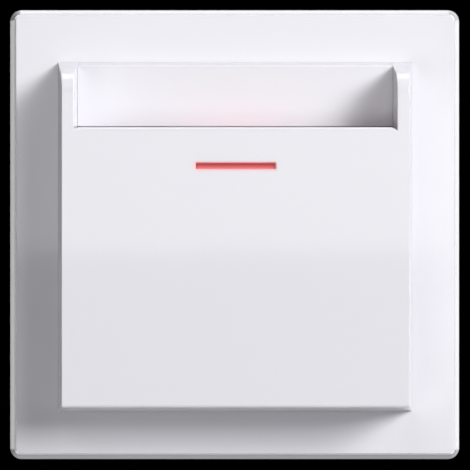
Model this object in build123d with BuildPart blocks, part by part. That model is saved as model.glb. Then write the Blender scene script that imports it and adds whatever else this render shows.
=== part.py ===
from build123d import *
from math import radians, sin, sqrt, tan
import os

# Hotel key card switch for a flush wall box.
# Lengths are millimetres. X is right, Y runs into the wall and Z is up.
# The origin is the centre of the support frame's rear face, on the wall plane.
# A level is a distance from the wall plane towards the room, so it lies along -Y.

os.makedirs("parts", exist_ok=True)

# Shared clearances, and the width of a screw's driver slot
cut_overrun = 1.0
seat_gap = 0.05
fit_gap = 0.05
side_gap = 0.1
free_gap = 0.3
driver_slot_width = 0.7

# Key card and its slot
card_width = 54.0
card_side_clearance = 0.5
slot_gap = 1.2
pocket_width = card_width + 2 * card_side_clearance
pocket_half = pocket_width / 2

# Strips, and the pin of the contact arm between its lugs
strip_wall = 1.0
arm_wall = 0.6
arm_width = 6.0
arm_eye_width = 7.0
arm_eye_radius = 1.6
arm_pin_radius = 0.8
arm_lug_gap = 0.6
arm_lug_half_height = 2.2
arm_lug_inner = arm_eye_width / 2 + arm_lug_gap

# Rising cage terminals, two at the top and two at the bottom
terminal_places = ((-1, 1), (1, 1), (-1, -1), (1, -1))
terminal_bar_width = 4.6
terminal_bar_rise = 10.0
terminal_screw_radius = 1.75
terminal_screw_head_radius = 2.75
terminal_screw_head_height = 1.8
terminal_travel = 3.0
cage_inner_width = 5.0
cage_side_wall = 1.0
cage_floor_wall = 1.2
cage_roof_wall = 1.8
cage_length = 6.0
cage_wire_room = 3.4
cage_bar_gap = 0.4
wire_bore_radius = 1.9
driver_bore_radius = 2.3
separator_wall = 1.2
separator_gap = 1.1
separator_place = arm_lug_inner + strip_wall + side_gap + separator_wall / 2
cage_half_width = cage_inner_width / 2 + cage_side_wall
terminal_place = separator_place + separator_wall / 2 + separator_gap + cage_half_width
cage_opening_top = terminal_bar_rise + strip_wall + cage_bar_gap
cage_opening_bottom = terminal_bar_rise - cage_wire_room
wire_bore_rise = (terminal_bar_rise + cage_opening_bottom) / 2
terminal_head_rise = cage_opening_top + cage_roof_wall + terminal_travel + free_gap

# Switch housing in the wall box, round its terminals
housing_chamfer = 6.0
housing_wall = 1.6
housing_rim_level = 5.0
housing_rear_wall = 2.5
housing_flange = 1.5
housing_flange_wall = 1.6
housing_side_room = 4.9
housing_inner_half = terminal_place + cage_half_width + housing_side_room
housing_inner_rise = terminal_head_rise + terminal_screw_head_height + side_gap
housing_width = 2 * (housing_inner_half + housing_wall)
housing_tall = 2 * (housing_inner_rise + housing_wall)
housing_inner_chamfer = housing_chamfer - housing_wall * (2 - sqrt(2))
mechanism_cover_wall = 1.6
mechanism_face_level = housing_rim_level + mechanism_cover_wall
screw_boss_radius = 2.2
screw_boss_depth = 10.0
screw_boss_gap = 0.2
cover_screw_place = housing_inner_half - screw_boss_radius - screw_boss_gap
cover_screw_radius = 1.0
cover_screw_head_radius = 2.0
cover_screw_head_height = 1.3
cover_screw_length = 9.0

# Support frame of steel sheet, with folded tabs round the housing
support_wall = 1.2
support_corner_radius = 5.0
box_screw_pitch = 60.0
box_slot_radius = 2.0
box_slot_length = 7.0
support_margin = 5.5
support_side = box_screw_pitch + 2 * support_margin
support_opening_gap = 0.3
support_collar_radius = 2.2
support_collar_height = 2.0
support_collar_gap = 0.8
support_collar_level = support_wall + support_collar_height
fold_place = 12.0
fold_width = 7.0
fold_wall = 1.2
fold_level = support_wall + housing_flange_wall + seat_gap
fold_inner_rise = housing_tall / 2 + free_gap
fold_outer_rise = fold_inner_rise + housing_flange + fold_wall
support_tab_place = 16.5
support_tab_width = 5.0
support_tab_wall = 0.8
support_tab_level = 5.6
support_tab_room = 4.3
support_tab_rise = fold_outer_rise + support_tab_room
snap_window_width = 2.6
snap_window_height = 2.0
snap_window_level = 2.2

# Screws of the card guide, in the support frame's collars below the housing
guide_screw_radius = 1.25
guide_screw_head_radius = 2.2
guide_screw_head_height = 1.2
guide_screw_tip_level = 0.4
guide_pillar_radius = 2.1
guide_screw_place = fold_place + fold_width / 2 + support_collar_gap + support_collar_radius
guide_screw_rise = -housing_tall / 2 - housing_flange - free_gap - support_collar_radius
guide_screw_spots = ((-guide_screw_place, guide_screw_rise), (guide_screw_place, guide_screw_rise))

# Decorative frame, over the support frame and round the card guide's tray
frame_level = 9.0
frame_front_inset = 1.93
frame_foot_height = 2.0
frame_foot_inset = 0.7
frame_foot_radius = 2.0
frame_front_radius = 1.0
frame_edge_radius = 0.15
frame_wall = 2.0
frame_side_room = 3.0
frame_collar_wall = 1.5
frame_collar_height = 2.0
frame_rib_width = 1.2
frame_rib_place = 20.0
frame_side = support_side + 2 * (frame_side_room + frame_wall)
frame_front_side = frame_side - 2 * frame_front_inset

# Card guide: a raised plateau on a flanged tray
guide_step = 3.1
guide_level = frame_level + guide_step
guide_wall = 1.6
guide_pocket_gap = 0.03
guide_half = pocket_half - guide_pocket_gap
guide_back_level = guide_level - guide_wall
guide_side_wall = 1.5
guide_flange_wall = 1.6
guide_flange_back = frame_level - guide_flange_wall
guide_skirt_wall = 1.5
guide_skirt_level = 5.0
guide_flange_rise = support_tab_rise + support_tab_wall + free_gap + guide_skirt_wall
snap_arm_wall = 1.0
shadow_groove_height = 0.35
shadow_groove_depth = 0.9
shadow_groove_lift = 0.4
frame_opening_tall = 2 * (guide_flange_rise + 2 * side_gap)

# Card cover: drafted sides, a top that slopes back and a rounded nose
cover_side_wall = 3.65
cover_foot_wall = 3.6
cover_side_lap = 1.05
cover_top_lap = 0.13
cover_foot_lap = 1.0
cover_projection = 12.0
cover_side_inset = 1.6
cover_top_slope = 16.0
cover_nose_radius = 4.0
cover_bottom_radius = 0.5
cover_edge_radius = 0.15
cover_base_level = frame_level + seat_gap
cover_face_level = frame_level + cover_projection
cover_base_width = pocket_width + 2 * cover_side_wall
cover_base_rise = frame_opening_tall / 2 + cover_top_lap
cover_base_drop = frame_opening_tall / 2 + cover_foot_lap
frame_opening_width = cover_base_width - 2 * cover_side_lap
guide_flange_half = frame_opening_width / 2 - 2 * side_gap
card_stop_rise = cover_foot_wall - cover_base_drop
pocket_drop = 12.13
pocket_edge_radius = 0.12
pocket_notch_width = 0.9
pocket_notch_drop = 0.6
front_plate_wall = 2.2
front_plate_edge_radius = 0.6
front_plate_top = cover_base_rise - pocket_drop
plate_back_level = cover_face_level - front_plate_wall

# Indicator window, and the ribs beside it
window_drop = 6.6
window_width = 13.5
window_height = 1.0
window_corner_radius = 0.15
window_rim_radius = 0.3
window_recess = 1.0
window_rise = front_plate_top - window_drop
lens_gap = 0.05
lens_flange_margin = 1.3
lens_flange_wall = 1.4
rib_width = 1.2
rib_lens_gap = 1.8
rib_lens_space = 4.0
rib_side_space = 5.5
rib_top = window_rise - window_height / 2 - lens_flange_margin - rib_lens_gap
rib_inner_place = window_width / 2 + lens_flange_margin + rib_lens_space
rib_outer_place = pocket_half - rib_side_space

# Snap hooks between the cover and the guide
hook_rises = (-10.0, 12.0)
hook_width = 6.0
hook_wall = 1.2
hook_outset = 0.7
hook_inner = pocket_half + hook_outset
hook_reach = 3.2
hook_barb = 1.2
hook_barb_height = 1.3

# Lamp board under the housing's cover, and the light guide over its lamp
board_wall = 1.6
board_cover_gap = 0.2
board_boss_gap = 0.4
board_end_gap = 1.4
board_bush_gap = 0.5
board_ledge_place = 7.5
board_ledge_width = 3.0
board_ledge_depth = 2.6
board_ledge_height = 4.2
board_level = housing_rim_level - board_cover_gap - board_wall
board_width = 2 * (cover_screw_place - screw_boss_radius - board_boss_gap)
board_tall = 2 * (housing_inner_rise - board_end_gap)
lamp_radius = 1.5
lamp_stand = 1.0
lamp_level = mechanism_face_level + lamp_stand
light_pipe_flange_wall = 1.2
light_pipe_height = 2.6
light_pipe_throat_width = 4.0
light_pipe_gap = 0.3
resistor_radius = 1.2
resistor_length = 7.0
resistor_lead_radius = 0.3
resistor_lead_pitch = 10.0
resistor_rise = 3.0
riser_width = 2.0
riser_end_gap = 0.7
riser_rise = board_tall / 2 - riser_end_gap - strip_wall
riser_place = terminal_place + riser_width / 4

# Card paddle, turning on its pin behind the guide
paddle_travel = 11.5
paddle_width = 12.0
paddle_pin_radius = 1.0
paddle_hub_radius = 2.0
paddle_pivot_standoff = 2.4
paddle_pivot_level = mechanism_face_level + paddle_pivot_standoff
paddle_nose_reach = 5.5
paddle_nose_drop = 12.5
paddle_foot_reach = 2.9
paddle_foot_drop = 15.5
paddle_heel_lead = -1.1
paddle_nose_radius = 0.8
paddle_window_gap = 0.3
paddle_pipe_gap = 2.1
light_pipe_foot = window_rise - light_pipe_height / 2 - lens_flange_margin
paddle_pivot_rise = light_pipe_foot - paddle_pipe_gap - paddle_window_gap - paddle_hub_radius
paddle_lug_wall = 2.5
paddle_lug_gap = 0.5
paddle_lug_level = mechanism_face_level + paddle_lug_gap
paddle_spring_room = 5.0
paddle_spring_wire = 0.2
paddle_spring_radius = 1.5
paddle_spring_turns = 4
paddle_leg_lean = 22.5
paddle_leg_length = 5.6
guide_leg_lean = 34.0
guide_leg_length = 4.25

# Plunger and its spring
plunger_lever = 12.0
plunger_radius = 2.5
plunger_collar_radius = 4.0
plunger_collar_wall = 1.2
plunger_end_radius = 1.6
plunger_overhang = 2.5
plunger_spring_wire = 0.35
plunger_spring_turns = 5
plunger_spring_length = 6.8
bush_wall = 1.4
bush_length = 6.3
bridge_wall = 1.5
bridge_drop = 4.5
plunger_rise = paddle_pivot_rise - plunger_lever
plunger_travel = plunger_lever * radians(paddle_travel)
plunger_front_level = paddle_pivot_level - paddle_heel_lead - free_gap
bush_back_level = mechanism_face_level - bush_length
plunger_collar_level = bush_back_level - free_gap
bridge_level = plunger_collar_level - plunger_collar_wall - plunger_spring_length
plunger_tip_level = bridge_level - bridge_wall - plunger_overhang

# Contact arm behind the plunger, its contacts and the levels of the strips
arm_pivot_rise = terminal_bar_rise
arm_pivot_setback = 0.7
arm_foot_margin = 0.7
contact_drop = 3.5
contact_radius = 1.8
contact_height = 1.0
fixed_contact_radius = 2.0
fixed_contact_height = 0.8
contact_stem_radius = 0.8
contact_closing_gap = 0.1
contact_rise = -terminal_bar_rise - contact_drop
arm_foot_rise = contact_rise - contact_radius - arm_foot_margin
arm_front_level = plunger_tip_level - free_gap
arm_back_level = arm_front_level - arm_wall
arm_pivot_level = arm_front_level - arm_pivot_setback
arm_travel = plunger_travel / (arm_pivot_rise - plunger_rise)
contact_swing = (arm_pivot_rise - contact_rise + contact_radius) * sin(arm_travel)
moving_contact_level = arm_back_level - contact_height
fixed_contact_level = moving_contact_level - contact_swing - contact_closing_gap
strip_front_level = fixed_contact_level - fixed_contact_height
strip_back_level = strip_front_level - strip_wall
cage_back_gap = 0.4
cage_front_level = strip_back_level - strip_wall
cage_back_level = cage_front_level - cage_length
terminal_level = (cage_front_level + cage_back_level) / 2
housing_floor_level = cage_back_level - cage_back_gap
housing_back_level = housing_floor_level - housing_rear_wall
contact_spring_rise = -1.0
contact_spring_radius = 2.2
contact_spring_wire = 0.25
contact_spring_turns = 7
contact_spring_seat_height = 2.8
contact_spring_seat_radius = 3.2
contact_spring_guide_radius = 1.4
contact_spring_guide_height = 6.5


def finish(piece, name):
    """Label a piece and write it to its own file."""
    piece.label = name
    export_step(piece, f"parts/{name}.step")


def box(x_range, level_range, z_range):
    """A plain block between two X places, two levels and two heights."""
    width = x_range[1] - x_range[0]
    depth = level_range[1] - level_range[0]
    tall = z_range[1] - z_range[0]
    middle = Plane(
        origin=(
            (x_range[0] + x_range[1]) / 2,
            -(level_range[0] + level_range[1]) / 2,
            (z_range[0] + z_range[1]) / 2,
        )
    )
    with BuildPart(middle) as block:
        Box(width, depth, tall)
    return block.part


def cut_corners(width, tall, corner):
    """The points of a rectangle with chamfered corners."""
    half = width / 2
    top = tall / 2
    quarter = [(half, top - corner), (half - corner, top)]
    points = quarter + [(-x, y) for x, y in reversed(quarter)]
    return points + [(-x, -y) for x, y in points]


def coil(start, direction, length, radius, wire, turns):
    """A helical spring of round wire, its ends inside the given length."""
    with BuildPart() as spring:
        with BuildLine() as path:
            Helix(
                pitch=(length - 2 * wire) / turns,
                height=length - 2 * wire,
                radius=radius,
                center=Vector(*start) + Vector(*direction) * wire,
                direction=direction,
            )
        with BuildSketch(Plane(origin=path.line @ 0, z_dir=path.line % 0)):
            Circle(wire)
        sweep(is_frenet=True)
    return spring.part


# Decorative frame: a flared foot, drafted sides and a flat front, hollow from behind
frame_shoulder_side = frame_side - 2 * frame_foot_inset
frame_shoulder_radius = frame_foot_radius - (frame_foot_radius - frame_front_radius) / 2
with BuildPart() as frame:
    with BuildSketch(Plane.XZ):
        RectangleRounded(frame_side, frame_side, frame_foot_radius)
    with BuildSketch(Plane.XZ.offset(frame_foot_height)):
        RectangleRounded(frame_shoulder_side, frame_shoulder_side, frame_shoulder_radius)
    loft(ruled=True)
    with BuildSketch(Plane.XZ.offset(frame_foot_height)):
        RectangleRounded(frame_shoulder_side, frame_shoulder_side, frame_shoulder_radius)
    with BuildSketch(Plane.XZ.offset(frame_level)):
        RectangleRounded(frame_front_side, frame_front_side, frame_front_radius)
    loft(ruled=True)
    fillet(frame.faces().sort_by(Axis.Y)[0].edges(), frame_edge_radius)
    # Hollow behind the front wall
    with BuildSketch(Plane.XZ):
        Rectangle(frame_side - 2 * frame_wall, frame_side - 2 * frame_wall)
    with BuildSketch(Plane.XZ.offset(frame_level - frame_wall)):
        Rectangle(frame_front_side - 2 * frame_wall, frame_front_side - 2 * frame_wall)
    loft(ruled=True, mode=Mode.SUBTRACT)
    # Collar and ribs round the opening
    frame_rib_length = frame_front_side - 2 * frame_wall + 2 * frame_edge_radius
    with BuildSketch(Plane.XZ.offset(frame_level - frame_wall - frame_collar_height)):
        Rectangle(
            frame_opening_width + 2 * frame_collar_wall,
            frame_opening_tall + 2 * frame_collar_wall,
        )
        with Locations((0, frame_rib_place), (0, -frame_rib_place)):
            Rectangle(frame_rib_length, frame_rib_width)
        with Locations((frame_rib_place, 0), (-frame_rib_place, 0)):
            Rectangle(frame_rib_width, frame_rib_length)
    extrude(amount=frame_collar_height)
    with BuildSketch(Plane.XZ):
        Rectangle(frame_opening_width, frame_opening_tall)
    extrude(amount=frame_level + cut_overrun, mode=Mode.SUBTRACT)
finish(frame.part, "frame")

# Card cover: front plate, two side arms and a bottom wall in one moulding
cover_front_half = cover_base_width / 2 - cover_side_inset
cover_depth = cover_face_level - cover_base_level
cover_front_rise = cover_base_rise - cover_depth * tan(radians(cover_top_slope))
cover_front_drop = cover_base_drop - cover_side_inset
with BuildPart() as card_cover:
    with BuildSketch(Plane.YZ) as side_view:
        with BuildLine():
            Polyline(
                (-cover_base_level, -cover_base_drop),
                (-cover_base_level, cover_base_rise),
                (-cover_face_level, cover_front_rise),
                (-cover_face_level, -cover_front_drop),
                close=True,
            )
        make_face()
        front_corners = side_view.vertices().group_by(Axis.X)[0].sort_by(Axis.Y)
        fillet(front_corners[0], cover_bottom_radius)
        front_corners = side_view.vertices().sort_by(Axis.Y)[-2:].sort_by(Axis.X)
        fillet(front_corners[0], cover_nose_radius)
    extrude(amount=cover_base_width / 2 + cut_overrun, both=True)
    with BuildSketch(Plane.XY.offset(-cover_base_drop - cut_overrun)):
        with BuildLine():
            Polyline(
                (-cover_base_width / 2, -cover_base_level),
                (-cover_front_half, -cover_face_level),
                (cover_front_half, -cover_face_level),
                (cover_base_width / 2, -cover_base_level),
                close=True,
            )
        make_face()
    extrude(amount=cover_base_drop + cover_base_rise + 2 * cut_overrun, mode=Mode.INTERSECT)
    side_faces = card_cover.faces().sort_by(Axis.X)
    side_edges = side_faces[0].edges() + side_faces[-1].edges()
    fillet(
        [edge for edge in side_edges if edge.center().Y < -cover_base_level - seat_gap],
        cover_edge_radius,
    )
    # Card channel behind the front plate
    with BuildSketch(Plane.XZ.offset(cover_base_level - cut_overrun)):
        with Locations((0, card_stop_rise)):
            Rectangle(
                pocket_width,
                cover_base_rise + cut_overrun - card_stop_rise,
                align=(Align.CENTER, Align.MIN),
            )
    extrude(amount=plate_back_level - cover_base_level + cut_overrun, mode=Mode.SUBTRACT)
    # Pocket opening above the front plate, with a small notch in each lower corner
    with BuildSketch(Plane.XZ.offset(plate_back_level - cut_overrun)):
        with BuildLine():
            Polyline(
                (-pocket_half, cover_base_rise + cut_overrun),
                (-pocket_half, front_plate_top - pocket_notch_drop),
                (-pocket_half + pocket_notch_width, front_plate_top),
                (pocket_half - pocket_notch_width, front_plate_top),
                (pocket_half, front_plate_top - pocket_notch_drop),
                (pocket_half, cover_base_rise + cut_overrun),
                close=True,
            )
        make_face()
    extrude(amount=front_plate_wall + 2 * cut_overrun, mode=Mode.SUBTRACT)
    front_edges = card_cover.faces().sort_by(Axis.Y)[0].edges()
    fillet(
        [edge for edge in front_edges.filter_by(Axis.X) if edge.center().Z > front_plate_top - seat_gap],
        front_plate_edge_radius,
    )
    front_edges = card_cover.faces().sort_by(Axis.Y)[0].edges()
    fillet(
        [
            edge
            for edge in front_edges.filter_by(Axis.Z)
            if edge.center().Z > front_plate_top and abs(edge.center().X) < pocket_half + seat_gap
        ],
        pocket_edge_radius,
    )
    # Ribs that hold the card against the guide, sloped at the top to lead it in
    rib_front_level = guide_level + slot_gap
    rib_lead = plate_back_level - rib_front_level
    for place in (-rib_outer_place, -rib_inner_place, rib_inner_place, rib_outer_place):
        with BuildSketch(Plane.YZ.offset(place - rib_width / 2)):
            with BuildLine():
                Polyline(
                    (-plate_back_level, card_stop_rise),
                    (-rib_front_level, card_stop_rise),
                    (-rib_front_level, rib_top - rib_lead),
                    (-plate_back_level, rib_top),
                    close=True,
                )
            make_face()
        extrude(amount=rib_width)
    # Window with a rounded rim
    with BuildSketch(Plane.XZ.offset(plate_back_level - cut_overrun)):
        with Locations((0, window_rise)):
            RectangleRounded(window_width, window_height, window_corner_radius)
    extrude(amount=front_plate_wall + 2 * cut_overrun, mode=Mode.SUBTRACT)
    front_face = card_cover.faces().filter_by(Axis.Y).sort_by(Axis.Y)[0]
    fillet(front_face.inner_wires().edges(), window_rim_radius)
    # Snap hooks behind the side walls
    hook_tip_level = cover_base_level - hook_reach
    for rise in hook_rises:
        for side in (-1, 1):
            with BuildSketch(Plane.XZ.offset(hook_tip_level)):
                with Locations((side * (hook_inner + hook_wall / 2), rise)):
                    Rectangle(hook_wall, hook_width)
            extrude(amount=hook_reach)
            with BuildSketch(Plane.XZ.offset(hook_tip_level)):
                with Locations((side * (hook_inner - hook_barb / 2), rise)):
                    Rectangle(hook_barb, hook_width)
            extrude(amount=hook_barb_height)
finish(card_cover.part, "card_cover")

# Indicator window: a red lens let into its opening, with a flange behind the plate
with BuildPart() as indicator_lens:
    with BuildSketch(Plane.XZ.offset(plate_back_level)):
        with Locations((0, window_rise)):
            RectangleRounded(
                window_width - 2 * lens_gap,
                window_height - 2 * lens_gap,
                window_corner_radius - lens_gap,
            )
    extrude(amount=front_plate_wall - window_recess)
    with BuildSketch(Plane.XZ.offset(plate_back_level - lens_flange_wall)):
        with Locations((0, window_rise)):
            Rectangle(window_width + 2 * lens_flange_margin, window_height + 2 * lens_flange_margin)
    extrude(amount=lens_flange_wall)
finish(indicator_lens.part, "indicator_lens")

# Card guide: the pocket's back wall, raised on a tray that fills the frame's opening
guide_bottom_rise = card_stop_rise + side_gap
guide_face_rise = cover_base_rise - (guide_level - cover_base_level) * tan(radians(cover_top_slope))
guide_inner_half = guide_half - guide_side_wall
guide_inner_top = guide_flange_rise - guide_side_wall
guide_inner_bottom = guide_bottom_rise + guide_side_wall
paddle_window_top = paddle_pivot_rise + paddle_hub_radius + paddle_window_gap
paddle_window_bottom = paddle_pivot_rise - paddle_foot_drop - 2 * paddle_window_gap
paddle_window_half = paddle_width / 2 + paddle_window_gap
with BuildPart() as card_guide:
    with BuildSketch(Plane.YZ):
        with BuildLine():
            Polyline(
                (-guide_flange_back, guide_bottom_rise),
                (-guide_level, guide_bottom_rise),
                (-guide_level, guide_face_rise),
                (-cover_base_level, cover_base_rise),
                (-cover_base_level, guide_flange_rise),
                (-guide_flange_back, guide_flange_rise),
                close=True,
            )
        make_face()
    extrude(amount=guide_half, both=True)
    top_edge = card_guide.edges().filter_by(Axis.X).sort_by(Axis.Y)[0:2].sort_by(Axis.Z)[-1]
    fillet(top_edge, front_plate_edge_radius)
    with BuildSketch(Plane.XZ.offset(guide_flange_back)):
        Rectangle(2 * guide_flange_half, 2 * guide_flange_rise)
    extrude(amount=guide_flange_wall)
    with BuildSketch(Plane.XZ.offset(guide_skirt_level)):
        Rectangle(2 * guide_flange_half, 2 * guide_flange_rise)
        Rectangle(
            2 * (guide_flange_half - guide_skirt_wall),
            2 * (guide_flange_rise - guide_skirt_wall),
            mode=Mode.SUBTRACT,
        )
    extrude(amount=guide_flange_back - guide_skirt_level)
    # Hollow behind the back wall
    with BuildSketch(Plane.XZ.offset(guide_flange_back - cut_overrun)):
        with Locations((0, guide_inner_bottom)):
            Rectangle(
                2 * guide_inner_half,
                guide_inner_top - guide_inner_bottom,
                align=(Align.CENTER, Align.MIN),
            )
    extrude(amount=guide_back_level - guide_flange_back + cut_overrun, mode=Mode.SUBTRACT)
    # Pillars down to the support frame for the two screws
    with BuildSketch(Plane.XZ.offset(support_collar_level + seat_gap)):
        with Locations(*guide_screw_spots):
            Circle(guide_pillar_radius)
    extrude(amount=guide_back_level - support_collar_level)
    with BuildSketch(Plane.XZ.offset(support_collar_level)):
        with Locations(*guide_screw_spots):
            Circle(guide_screw_radius + side_gap)
    extrude(amount=guide_level - support_collar_level + cut_overrun, mode=Mode.SUBTRACT)
    for place, rise in guide_screw_spots:
        with BuildSketch(Plane.XZ.offset(guide_level - guide_screw_head_height)):
            with Locations((place, rise)):
                Circle(guide_screw_radius + side_gap)
        with BuildSketch(Plane.XZ.offset(guide_level)):
            with Locations((place, rise)):
                Circle(guide_screw_head_radius + side_gap)
        loft(ruled=True, mode=Mode.SUBTRACT)
    # Windows for the paddle and for the light guide
    with BuildSketch(Plane.XZ.offset(guide_back_level - cut_overrun)):
        with Locations((0, (paddle_window_top + paddle_window_bottom) / 2)):
            Rectangle(2 * paddle_window_half, paddle_window_top - paddle_window_bottom)
        with Locations((0, window_rise)):
            Rectangle(window_width, light_pipe_height)
    extrude(amount=guide_wall + 2 * cut_overrun, mode=Mode.SUBTRACT)
    # Shadow groove across the face, just above the front plate's top edge
    with BuildSketch(Plane.XZ.offset(guide_level - shadow_groove_depth)):
        with Locations((0, front_plate_top + shadow_groove_lift)):
            Rectangle(
                2 * guide_half,
                shadow_groove_height,
                align=(Align.CENTER, Align.MIN),
            )
    extrude(amount=shadow_groove_depth + cut_overrun, mode=Mode.SUBTRACT)
    # Lugs that hold the paddle's pin
    for side in (-1, 1):
        lug_middle = side * (paddle_window_half + paddle_lug_wall / 2)
        with BuildSketch(Plane.XZ.offset(paddle_lug_level)):
            with Locations((lug_middle, paddle_pivot_rise)):
                Rectangle(paddle_lug_wall, 2 * paddle_hub_radius)
        extrude(amount=guide_back_level - paddle_lug_level)
    with BuildSketch(Plane.YZ):
        with Locations((-paddle_pivot_level, paddle_pivot_rise)):
            Circle(paddle_pin_radius)
    extrude(amount=paddle_window_half + paddle_lug_wall + cut_overrun, both=True, mode=Mode.SUBTRACT)
    # Notches for the cover's hooks, which catch behind the side walls
    for rise in hook_rises:
        for side in (-1, 1):
            with BuildSketch(Plane.XZ.offset(guide_skirt_level - cut_overrun)):
                with Locations((side * (hook_inner - side_gap), rise)):
                    Rectangle(
                        guide_flange_half - hook_inner + cut_overrun,
                        hook_width + 2 * free_gap,
                        align=(Align.MIN if side > 0 else Align.MAX, Align.CENTER),
                    )
            extrude(amount=frame_level - guide_skirt_level + cut_overrun, mode=Mode.SUBTRACT)
    # Snap arms at the top, with barbs that enter the support frame's tabs
    snap_arm_width = snap_window_width - 2 * free_gap
    snap_tip_level = snap_window_level + free_gap
    snap_barb_height = snap_window_height - 2 * free_gap
    snap_arm_rise = support_tab_rise + support_tab_wall + free_gap
    for side in (-1, 1):
        with BuildSketch(Plane.XZ.offset(snap_tip_level)):
            with Locations((side * support_tab_place, snap_arm_rise)):
                Rectangle(snap_arm_width, snap_arm_wall, align=(Align.CENTER, Align.MIN))
        extrude(amount=guide_skirt_level - snap_tip_level)
        with BuildSketch(Plane.XZ.offset(snap_tip_level)):
            with Locations((side * support_tab_place, snap_arm_rise)):
                Rectangle(
                    snap_arm_width,
                    support_tab_wall + free_gap,
                    align=(Align.CENTER, Align.MAX),
                )
        extrude(amount=snap_barb_height)
finish(card_guide.part, "card_guide")

# Light guide: a flange behind the back wall that narrows towards the lamp
light_pipe_back_level = lamp_level + light_pipe_gap
light_flange_back_level = guide_back_level - light_pipe_flange_wall
with BuildPart() as light_pipe:
    with BuildSketch(Plane.XZ.offset(guide_back_level)):
        with Locations((0, window_rise)):
            Rectangle(window_width - 2 * lens_gap, light_pipe_height - 2 * lens_gap)
    extrude(amount=guide_wall)
    with BuildSketch(Plane.XZ.offset(light_flange_back_level)):
        with Locations((0, window_rise)):
            Rectangle(
                window_width + 2 * lens_flange_margin,
                light_pipe_height + 2 * lens_flange_margin,
            )
    extrude(amount=light_pipe_flange_wall)
    with BuildSketch(Plane.XZ.offset(light_pipe_back_level)):
        with Locations((0, window_rise)):
            Rectangle(light_pipe_throat_width, light_pipe_height)
    with BuildSketch(Plane.XZ.offset(light_flange_back_level)):
        with Locations((0, window_rise)):
            Rectangle(window_width, light_pipe_height)
    loft(ruled=True)
finish(light_pipe.part, "light_pipe")

# Screws of the guide, countersunk flush with its face
with BuildPart() as guide_screws:
    for place, rise in guide_screw_spots:
        screw_axis = Plane(origin=(place, -guide_screw_tip_level, rise), x_dir=(1, 0, 0), z_dir=(0, -1, 0))
        screw_length = guide_level - guide_screw_tip_level
        with BuildSketch(screw_axis):
            Circle(guide_screw_radius)
        extrude(amount=screw_length - guide_screw_head_height)
        with BuildSketch(screw_axis.offset(screw_length - guide_screw_head_height)):
            Circle(guide_screw_radius)
        with BuildSketch(screw_axis.offset(screw_length - seat_gap)):
            Circle(guide_screw_head_radius)
        loft(ruled=True)
        with BuildSketch(screw_axis.offset(screw_length)):
            for turn in (0, 90):
                with Locations(Rotation(0, 0, turn)):
                    Rectangle(2 * guide_screw_radius, driver_slot_width)
        extrude(amount=-guide_screw_head_height / 2, mode=Mode.SUBTRACT)
finish(guide_screws.part, "guide_screws")

# Paddle: a hub on the pin, a ramp that the card pushes back and a flat heel
paddle_axis = Plane(
    origin=(0, -paddle_pivot_level, paddle_pivot_rise), x_dir=(0, 1, 0), z_dir=(1, 0, 0)
)
with BuildPart() as card_paddle:
    with BuildSketch(paddle_axis) as paddle_side:
        with BuildLine():
            Polyline(
                (-paddle_hub_radius, 0),
                (-paddle_nose_reach, -paddle_nose_drop),
                (-paddle_foot_reach, -paddle_foot_drop),
                (paddle_heel_lead, -paddle_foot_drop),
                (paddle_heel_lead, 0),
                close=True,
            )
        make_face()
        fillet(paddle_side.vertices().sort_by(Axis.X)[0], paddle_nose_radius)
        Circle(paddle_hub_radius)
    extrude(amount=paddle_width / 2, both=True)
    with BuildSketch(paddle_axis):
        Circle(paddle_pin_radius + fit_gap)
    extrude(amount=paddle_width, both=True, mode=Mode.SUBTRACT)
    # Room for the spring in the middle of the hub
    with BuildSketch(paddle_axis):
        with Locations((0, paddle_hub_radius)):
            Rectangle(
                2 * paddle_hub_radius + cut_overrun,
                2 * paddle_hub_radius + paddle_spring_wire,
                align=(Align.CENTER, Align.MAX),
            )
    extrude(amount=paddle_spring_room / 2, both=True, mode=Mode.SUBTRACT)
finish(card_paddle.part, "card_paddle")

with BuildPart() as paddle_pin:
    with BuildSketch(paddle_axis):
        Circle(paddle_pin_radius)
    extrude(amount=paddle_window_half + paddle_lug_wall, both=True)
finish(paddle_pin.part, "paddle_pin")

# Torsion spring round the pin: one leg leans on the paddle's back, the other on the guide
paddle_spring_length = paddle_spring_room - 2 * free_gap
paddle_spring_coil = paddle_spring_length - 2 * paddle_spring_wire
paddle_spring_all_turns = paddle_spring_turns + (paddle_leg_lean + guide_leg_lean) / 360
spring_start = (
    -paddle_spring_coil / 2,
    -paddle_pivot_level,
    paddle_pivot_rise,
)
spring_path = Helix(
    pitch=paddle_spring_coil / paddle_spring_all_turns,
    height=paddle_spring_coil,
    radius=paddle_spring_radius,
    center=spring_start,
    direction=(1, 0, 0),
).rotate(Axis(spring_start, (1, 0, 0)), -90 - paddle_leg_lean)
with BuildPart() as paddle_spring:
    with BuildSketch(Plane(origin=spring_path @ 0, z_dir=spring_path % 0)):
        Circle(paddle_spring_wire)
    sweep(path=spring_path, is_frenet=True)
    with BuildSketch(Plane(origin=spring_path @ 0, z_dir=spring_path % 0)):
        Circle(paddle_spring_wire)
    extrude(amount=-paddle_leg_length)
    with BuildSketch(Plane(origin=spring_path @ 1, z_dir=spring_path % 1)):
        Circle(paddle_spring_wire)
    extrude(amount=guide_leg_length)
finish(paddle_spring.part, "paddle_spring")

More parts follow.
